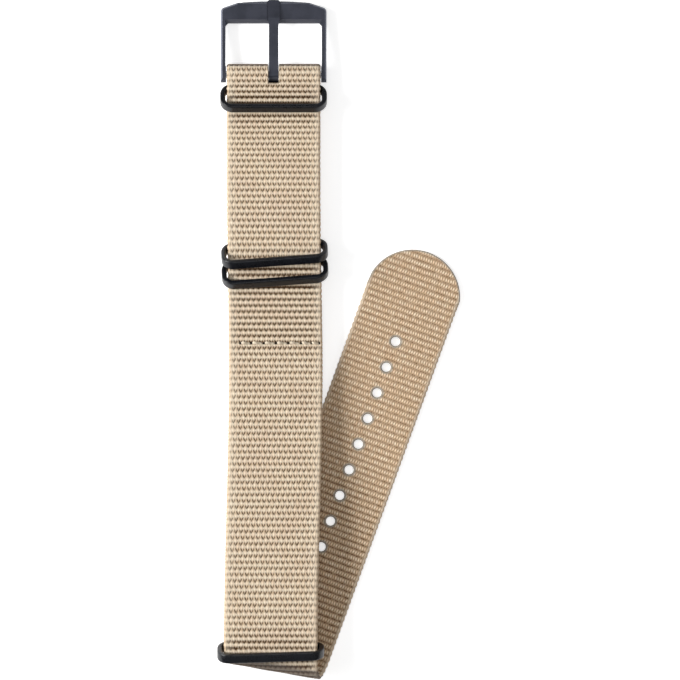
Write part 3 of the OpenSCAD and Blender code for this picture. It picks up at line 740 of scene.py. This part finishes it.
def weave_place(u, v):
    """The same repeat as weave_cell, in nodes: x, y, the row's sign and its number."""
    row = (v / RIB).math("FLOOR")
    y = (v / RIB - row - 0.5) * RIB
    turn = u / COLUMN + 0.5
    x = (turn - turn.math("FLOOR") - 0.5) * COLUMN
    odd = row - (row * 0.5).math("FLOOR") * 2
    return x, y, (odd * 2).less_from(1), row


def yarn_tint(group, u, row):
    """A random number for each yarn, half a column wide, in each row."""
    cell = group.nodes.new("ShaderNodeTexWhiteNoise")
    cell.noise_dimensions = "2D"
    feed_named(group, cell, Vector=joined(group, (u * 2 / COLUMN).math("FLOOR"), row))
    return Wire(group, cell.outputs["Value"])


def fine_threads(group, u, v):
    """Height of the fine threads in a yarn: noise stretched along the strap."""
    return noise(group, joined(group, u * 9, v * 1.6), 1.0, 3.0, 0.6)


def front_weave():
    """Front face of the webbing: how much of each point is slit, gap, crest and yarn, the tint of
    the yarn and the height of its fine threads. The slits, gaps and yarn edges are used to paint
    shade into the weave's hollows, deeper where gaps are opened and as painted shadow about the
    rings and the fold."""
    group, given, target = new_group(
        "webbing front", [("Place", "Vector"), ("Opened", "Float")],
        [("Slit", "Float"), ("Gap", "Float"), ("Yarn", "Float"), ("Tint", "Float"),
         ("Fine", "Float")])
    u, v, _ = parted(group, given["Place"])
    wander = noise(group, given["Place"], 0.9, 2.0) - 0.5
    u, v = u + wander * 0.14, v + wander * 0.16
    x, y, sign, row = weave_place(u, v)
    inner = (u.math("ABSOLUTE")).less_from(BAND_W / 2 - 0.4).smooth(0.0, 0.3)
    uneven = noise(group, given["Place"], 1.3, 2.0).smooth(0.3, 0.7) * 0.4 + 0.75
    deep = (x + sign * y * 0.5).bell(0.125) * y.bell(0.54)
    shallow = (x + sign * (y * -0.25 + 0.46)).bell(0.1) * y.bell(0.46)
    # Opened gaps, and painted shadow about the rings and the fold
    open_gap_and_shade = given["Opened"] * y.bell(0.34)
    slit = ((deep * 1.3 + shallow * 1.15) * uneven + y.bell(0.36) * 0.18 + open_gap_and_shade * 0.9) * inner
    slit = (slit + y.bell(0.24) * inner.less_from(1) * 0.35).math("MINIMUM", 1.0)
    yarn = (x * (2 * PI / COLUMN)).math("SINE").math("ABSOLUTE")
    put_out(group, target, Slit=slit, Gap=y.bell(0.45), Yarn=yarn * inner,
            Tint=yarn_tint(group, u, row), Fine=fine_threads(group, u, v))
    return group


def reverse_weave():
    """Reverse face of the webbing: pits between its long beads, the beads' crests, the tint of each
    bead and the height of its fine threads. The pits are used to paint shade into the weave's
    hollows; between the rows they are darker over the first part of the tail and fainter along
    the rest of it."""
    group, given, target = new_group(
        "webbing reverse", [("Place", "Vector")],
        [("Pit", "Float"), ("Bead", "Float"), ("Tint", "Float"), ("Fine", "Float")])
    u, v, _ = parted(group, given["Place"])
    wander = noise(group, given["Place"], 0.9, 2.0) - 0.5
    u, v = u + wander * 0.12, v + wander * 0.2
    x, y, sign, row = weave_place(u + COLUMN / 4, v + RIB / 2)
    inner = (u.math("ABSOLUTE")).less_from(BAND_W / 2 - 0.4).smooth(0.0, 0.3)
    turn = (x - sign * y * 0.12) * (2 * PI / COLUMN)
    high, low = turn.math("COSINE").math("ABSOLUTE"), turn.math("SINE").math("ABSOLUTE")
    side = (y.math("ABSOLUTE")).less_from(RIB / 2)
    uneven = noise(group, given["Place"], 1.1, 2.0).smooth(0.3, 0.7) * 0.5 + 0.6
    bead = (high * y.bell(0.46) + low * side.bell(0.25) * 0.35) * uneven
    row_gap = v.smooth(48.0, 72.0).less_from(2.6) * 0.26
    pit = high.bell(0.42) * y.bell(0.5) * 0.8 + (low.bell(0.55) * 0.6 + row_gap) * side.bell(0.27)
    pit = (pit * (uneven.less_from(1.7)) * inner).math("MINIMUM", 1.0)
    put_out(group, target, Pit=pit, Bead=bead, Tint=yarn_tint(group, u, row),
            Fine=fine_threads(group, u, v))
    return group


def metal_grain():
    """Fine grain of a brushed, coated metal: a soft cloud, a fine speckle and short lines
    along X, from the object's own coordinates in metres."""
    group, given, target = new_group(
        "coated metal grain", [("Place", "Vector"), ("Lines", "Float")],
        [("Cloud", "Float"), ("Speckle", "Float"), ("Height", "Float")])
    x, y, z = parted(group, given["Place"])
    cloud = noise(group, given["Place"], 260.0, 3.0, 0.55)
    speckle = noise(group, given["Place"], 5200.0, 2.0, 0.6)
    lines = noise(group, joined(group, x * 900, y * 9000, z * 9000), 1.0, 2.0)
    put_out(group, target, Cloud=cloud, Speckle=speckle,
            Height=speckle * 0.6 + lines * given["Lines"])
    return group


def material(name, base, roughness, **shader):
    """A material with one Principled shader; other values go to the shader's inputs."""
    made = bpy.data.materials.new(name)
    made.use_nodes = True
    bsdf = made.node_tree.nodes["Principled BSDF"]
    feed_named(made.node_tree, bsdf, Base_Color=base, Roughness=roughness, **shader)
    made.diffuse_color = base
    return made, made.node_tree, bsdf


def coordinates(tree, kind="weave"):
    """The weave's own coordinates in mm, the object's in metres, or a surface's direction."""
    if kind == "weave":
        node = tree.nodes.new("ShaderNodeUVMap")
        node.uv_map = "weave"
        return Wire(tree, node.outputs[0])
    return Wire(tree, tree.nodes.new("ShaderNodeTexCoord").outputs[kind])


def attribute(tree, name):
    """A number that the mesh holds at each point."""
    node = tree.nodes.new("ShaderNodeAttribute")
    node.attribute_name = name
    return Wire(tree, node.outputs["Fac"])


def raise_bump(tree, bsdf, height, distance, strength=1.0):
    """Feeds a height through a Bump node to the shader's normal."""
    node = tree.nodes.new("ShaderNodeBump")
    feed_named(tree, node, Height=height, Distance=distance * MM, Strength=strength)
    feed_named(tree, bsdf, Normal=Wire(tree, node.outputs[0]))


def layered(tree, body, *layers):
    """A colour with others laid over it in turn, each given as an amount and a colour."""
    for amount, tone in layers:
        body = blend_colour(tree, amount, body, tone)
    return body


# Grey-brown of melted cuts, and the dark tone of painted shade on tight turns and round the
# tongue's slot
MELT, PAINTED_SHADE = colour(160, 154, 142), colour(88, 79, 73)


def webbing_face(name, base, group, *marks):
    """A material for one face of the webbing, its weave's place, and what its group gives."""
    made, tree, bsdf = material(name, base, 0.72, Sheen_Weight=0.04, Sheen_Roughness=0.5,
                                Specular_IOR_Level=0.2)
    place = coordinates(tree)
    given = {mark.capitalize(): attribute(tree, mark) for mark in marks}
    return made, tree, bsdf, place, placed_group(tree, group, Place=place, **given)


def finish_face(tree, bsdf, body, seal, height):
    """Gives the shader its colour, a smoother surface on melted cuts, and the fine relief."""
    feed_named(tree, bsdf, Base_Color=body, Roughness=(seal * 0.3).less_from(0.74))
    raise_bump(tree, bsdf, height, 0.12, 0.8)


def make_webbing_front(group):
    """Front face: pale cream ribs, browner between ribs and yarns and dark brown in the slits,
    which is painted shade in the weave's hollows; a painted highlight beside the selvedges;
    grey-brown where it was melted; painted shade on tight turns, round the tongue's slot and in the
    needle holes."""
    made, tree, bsdf, place, face = webbing_face("webbing front", colour(226, 207, 183), group,
                                                 "opened")
    tone = noise(tree, place, 0.12, 2.0)
    across = parted(tree, place)[0].math("ABSOLUTE")
    # Painted highlight along both selvedges, where their rounded edges catch the light
    edge = across.smooth(8.8, 11.4) * across.smooth(11.6, 12.0).less_from(1)
    seal = attribute(tree, "seal")
    # The gap, yarn-edge and slit layers paint shade into the weave; the shaded and pierced layers
    # paint shade on turns, round the slot and in needle holes
    body = layered(
        tree, colour(247, 229, 204),
        (face["Tint"], colour(254, 242, 221)),
        (face["Gap"] * 0.6, colour(206, 174, 132)),
        (face["Yarn"].less_from(1) * 0.6, colour(184, 152, 114)),
        (tone.smooth(0.35, 0.7) * 0.14, colour(208, 172, 150)),
        (face["Slit"] * 0.97, colour(64, 40, 12)),
        (edge * 0.22, colour(255, 241, 218)),
        (attribute(tree, "shaded"), PAINTED_SHADE),
        (seal * 0.7, colour(214, 196, 172)),
        (attribute(tree, "pierced").smooth(0.2, 0.75), colour(14, 11, 8)))
    finish_face(tree, bsdf, body, seal, face["Fine"] * 0.7 + face["Yarn"] * 0.5 - face["Slit"])
    return made


def make_webbing_reverse(group):
    """Reverse face: a little browner, with pale long beads and small brown pits, the browner ground
    and pits being painted shade in the weave's hollows, and greyer selvedges.
    """
    made, tree, bsdf, place, face = webbing_face("webbing reverse", colour(205, 182, 155), group)
    light = blend_colour(tree, face["Tint"], colour(248, 223, 192), colour(255, 241, 217))
    edge = parted(tree, place)[0].math("ABSOLUTE").smooth(10.9, 11.6)
    seal = attribute(tree, "seal")
    body = layered(
        tree, colour(196, 160, 122),
        (face["Bead"], light),
        (face["Pit"] * 0.84, colour(82, 50, 18)),
        (edge * 0.5, colour(216, 203, 184)),
        (seal * 0.85, MELT))
    finish_face(tree, bsdf, body, seal, face["Fine"] * 0.7 + face["Bead"] * 0.5 - face["Pit"])
    return made


def make_webbing_edge():
    """Melted cuts and the ends of the webbing: grey-brown, smoother, faintly mottled, and near
    black as painted shade on the walls of the tongue's slot.
    """
    made, tree, bsdf = material("webbing edge", MELT, 0.55, Specular_IOR_Level=0.4)
    place = coordinates(tree)
    mottle = noise(tree, place, 2.2, 3.0)
    # The last layer is painted shade on the walls of the tongue's slot
    body = layered(
        tree, colour(128, 110, 92),
        (mottle.smooth(0.3, 0.7), colour(176, 158, 136)),
        (attribute(tree, "shaded"), colour(20, 17, 15)))
    feed_named(tree, bsdf, Base_Color=body, Roughness=mottle * 0.3 + 0.4)
    raise_bump(tree, bsdf, mottle, 0.08, 0.6)
    return made


def make_thread():
    """Sewing thread: pale, two-ply, with fine lines that wind round it, and painted shade, near
    black, where it sinks into the webbing.
    """
    made, tree, bsdf = material("thread", colour(238, 222, 196), 0.6, Sheen_Weight=0.2)
    u, v, _ = parted(tree, coordinates(tree))
    wind = ((u * 2 + v * 1.4) * (2 * PI * 4)).math("SINE") * 0.5 + 0.5
    grain = noise(tree, joined(tree, u * 6, v * 8), 1.0, 2.0)
    # Painted shade where the thread sinks into its needle holes
    body = layered(
        tree, colour(244, 231, 208),
        (wind * 0.3 + grain * 0.2, colour(196, 173, 142)),
        (attribute(tree, "under"), colour(30, 23, 15)))
    feed_named(tree, bsdf, Base_Color=body)
    raise_bump(tree, bsdf, wind + grain, 0.03, 0.7)
    return made


def make_metal(name, group, dark, light, roughness, lines, grain_depth, painted_bevel_light=None, **shader):
    """Coated metal: two close tones in a soft cloud, fine grain in gloss and height. worn is a
    lighter tone painted on its bevels, the faces that slope at about 45 degrees, as a painted
    highlight."""
    made, tree, bsdf = material(name, dark, roughness, **shader)
    grain = placed_group(tree, group, Place=coordinates(tree, "Object"), Lines=lines)
    tone = grain["Cloud"].smooth(0.3, 0.7) * 0.7 + grain["Speckle"] * 0.3
    body = blend_colour(tree, tone, dark, light)
    # Painted highlight on the bevels
    if painted_bevel_light is not None:
        level = parted(tree, coordinates(tree, "Normal"))[2]
        bevel = level.smooth(0.45, 0.55) * level.smooth(0.88, 0.95).less_from(1)
        body = blend_colour(tree, bevel * 0.9, body, painted_bevel_light)
    rough = grain["Cloud"] * 0.14 + grain["Speckle"] * 0.08 + (roughness - 0.1)
    feed_named(tree, bsdf, Base_Color=body, Roughness=rough)
    raise_bump(tree, bsdf, grain["Height"], grain_depth, 0.5)
    return made


front_group, reverse_group, grain_group = front_weave(), reverse_weave(), metal_grain()
webbing_front = make_webbing_front(front_group)
webbing_reverse = make_webbing_reverse(reverse_group)
webbing_edge = make_webbing_edge()
thread = make_thread()
ring_black = make_metal(
    "ring black", grain_group, dark=colour(8, 10, 15), light=colour(14, 17, 24),
    roughness=0.27, lines=0.2, grain_depth=0.008, Metallic=0.0, Specular_IOR_Level=0.48)
buckle_grey = make_metal(
    "buckle grey", grain_group, dark=colour(54, 57, 66), light=colour(70, 72, 83),
    roughness=0.46, lines=0.5, grain_depth=0.012, painted_bevel_light=colour(116, 119, 130), Metallic=0.75)
bar_steel = make_metal(
    "bar steel", grain_group, dark=colour(150, 150, 154), light=colour(178, 178, 180),
    roughness=0.32, lines=0.6, grain_depth=0.01, Metallic=1.0)


# ---- Pieces

def run_at(y):
    """Run of the band's course at a station of its front layer."""
    far = np.argmax(band_course.points[:, 0])
    return float(np.interp(y, band_course.points[:far, 0], band_course.run[:far]))


def band_place(y, s):
    """v on the band: by its ribs to the bar, then by the run round it and back."""
    past_bar = s - run_at(BAR_Y - 0.1)
    after = rib_place(BAR_Y - 0.1) - past_bar * RIB / BAR_PITCH
    return np.where(past_bar < 0, rib_place(y), after)


def short_place(y, s):
    """v on the short strap, by the run from its upper end."""
    return -s


split_run = run_at(SEAM_Y + LOWER_UP)
wrap_end = band_course.length - (BAR_Y - RETURN_DOWN - SEAM_Y + SEAM_LAP)
webbing_lower = strip("webbing_front_lower", band_course, 0, split_run, band_place, 1, SLANT,
                      marks=band_marks)
webbing_upper = strip("webbing_front_upper", band_course, split_run, wrap_end, band_place, 1,
                      slot_ends=(BAR_Y - SLOT_REACH, BAR_Y - SLOT_BACK), marks=band_marks)
webbing_return = strip("webbing_return", band_course, wrap_end, band_course.length, band_place, 1,
                       cut=band_course.length)
webbing_short = strip("webbing_short", short_course, 0, short_course.length, short_place, -1,
                      cut=0)
webbing_fold = fold_piece("webbing_fold")
webbing_tail = tail_piece("webbing_tail")
seam_stitches = stitch_row("seam_stitches", SEAM_Y, SLEEVE_Z - 2.5 * WEB_T, SLEEVE_Z + WEB_T / 2)
loop_stitches = stitch_row("loop_stitches", FLAP_SEAM_Y, FLAP_Z - 2 * WEB_T, FLAP_Z)
rings = (
    (ring_piece("ring_upper", RING_Y[0], BAR_Z, 51, 0), "keeper_1", "keeper_ring_1"),
    (ring_piece("ring_second", RING_Y[1], BAR_Z, 40, 3.3, 0.9), "keeper_2", "keeper_ring_2"),
    (ring_piece("ring_third", RING_Y[2], BAR_Z, 51, 3.3, 0.9), "keeper_3", "keeper_ring_3"),
    (ring_piece("ring_end", END_RING_Y, FOLD_Z, 25, 0, 1.9), "end_ring", "end_ring"))

for piece, body, node in (
        (webbing_lower, "band", "long_strap_band"), (webbing_upper, "band", "long_strap_band"),
        (webbing_return, "band", "long_strap_band"), (webbing_short, "band", "short_strap"),
        (webbing_tail, "tail", "long_strap_tail")):
    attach(piece, body)
    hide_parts(node)
fold_at = np.array([band_mid(FOLD_Y), FOLD_Y, 0.0])
tuple((fold_at + [0, 0, TOP_Z - WEB_T / 2]) * MM)
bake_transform(webbing_fold)
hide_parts("long_strap_fold")
for piece, node in ((seam_stitches, "seam_thread"), (loop_stitches, "loop_thread")):
    piece.data.materials.append(thread)
    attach(piece, "band")
    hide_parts(node)

# The cloth of each length of webbing: its flat length in mm, how it lies and on what. The
# tail's area leaves out its round tip and its holes.
fold_l = PI * FOLD_R / math.cos(SLANT)
tail_area = BAND_W * (TAIL_L - TIP_R) + PI / 2 * (BAND_W / 2) * TIP_R - HOLES * PI * HOLE_R ** 2
sheets = (
    (webbing_lower, split_run, "folded", ["webbing_short", "webbing_fold"], [seam_stitches], None),
    (webbing_upper, wrap_end - split_run, "folded", ["spring_bar_tube", "ring_third"], [], None),
    (webbing_return, band_course.length - wrap_end, "laid", ["table_top"], [], None),
    (webbing_short, short_course.length, "folded", ["ring_end"], [loop_stitches], None),
    (webbing_fold, fold_l, "folded", ["table_top"], [], None),
    (webbing_tail, TAIL_L, "laid", ["table_top"], [], tail_area * MM * MM))
for piece, length, held, rests_on, sewn, area in sheets:
    length * MM

for piece, body, node in rings:
    piece.data.materials.append(ring_black)
    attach(piece, body)
    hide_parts(node)

# The coil spring in two halves, each from the bar's middle to one end
for side, way in (("left", -1), ("right", 1)):
    half, middle, length = coil_half("bar_spring_" + side, way)
    half.data.materials.append(bar_steel)
    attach(half, "buckle")
    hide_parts("spring_bar_spring")
    tuple((middle * MM).tolist())
    1 - TIP_TRAVEL / length
    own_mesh(half)

finishes = {"buckle": buckle_grey, "spring_bar": bar_steel}
for node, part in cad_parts.items():
    for start, finish in finishes.items():
        if node.startswith(start):
            part.data.materials.clear()
            part.data.materials.append(finish)


# ---- Stage, light and camera

def make_floor_finish():
    """White table: its own white to the camera and to gloss, darker where the strap shades it."""
    made, tree, bsdf = material("table white", (0.9, 0.9, 0.9, 1), 0.9, Specular_IOR_Level=0.1)
    path = tree.nodes.new("ShaderNodeLightPath")
    seen, gloss, through = (Wire(tree, path.outputs[f"Is {kind} Ray"])
                            for kind in ("Camera", "Glossy", "Transmission"))
    seen = seen.math("MAXIMUM", gloss).math("MAXIMUM", through)
    grain = noise(tree, coordinates(tree, "Object"), 40.0, 2.0)
    body = blend_colour(tree, grain, (0.89, 0.89, 0.89, 1), (0.91, 0.91, 0.91, 1))
    feed_named(tree, bsdf, Base_Color=body, Emission_Color=(1, 1, 1, 1),
               Emission_Strength=seen * 0.58)
    return made


def lay_floor():
    """Square table top of 4 m, its face just under the strap."""
    lines = 9
    side = np.linspace(-2000.0, 2000.0, lines)
    x, y = np.meshgrid(side, side)
    points = np.stack([x, y, np.full(x.shape, -0.05)], -1).reshape(-1, 3)
    number = np.arange(lines ** 2).reshape(lines, lines)
    floor = mesh_piece("table_top", points, [grid_quads(number).reshape(-1, 4)])
    floor.data.materials.append(make_floor_finish())


def soft_lamp(name, at, size, power):
    """Square area lamp at a place in metres, turned to the middle of the scene."""
    lamp = bpy.data.lights.new(name, "AREA")
    lamp.shape, lamp.size, lamp.energy = "SQUARE", size, power
    holder = add_object(name, lamp)
    holder.location = at
    way = np.zeros(3) - at
    turn = math.atan2(way[1], way[0])
    tilt = math.atan2(math.hypot(way[0], way[1]), -way[2])
    holder.rotation_euler = (0, -tilt, turn)


lay_floor()
soft_lamp("window_left", (-0.9, 0.1, 0.53), 0.5, 12.6)
soft_lamp("softbox_right", (0.95, 0.1, 0.5), 0.5, 1.1)
soft_lamp("left_front", (-0.8, -0.4, 0.45), 0.3, 0.8)
soft_lamp("overhead", (0.0, 0.0, 1.5), 0.6, 2.6)

world = bpy.data.worlds.new("studio")
bpy.context.scene.world = world
world.use_nodes = True
sky = world.node_tree.nodes["Background"]
height = parted(world.node_tree, coordinates(world.node_tree, "Generated"))[2]
feed_named(world.node_tree, sky, Color=(1, 1, 1, 1),
           Strength=height.smooth(0.0, 1.0) * 0.31 + 0.07)

lens = bpy.data.cameras.new("photo")
lens.type, lens.lens, lens.sensor_width = "PERSP", 1000, 36
lens.clip_start, lens.clip_end = 0.01, 100
view = add_object("photo", lens)
view.location = (0, 0, PHOTO_W * lens.lens / lens.sensor_width + 0.005)
bpy.context.scene.camera = view
bpy.context.scene.view_settings.view_transform = "Standard"
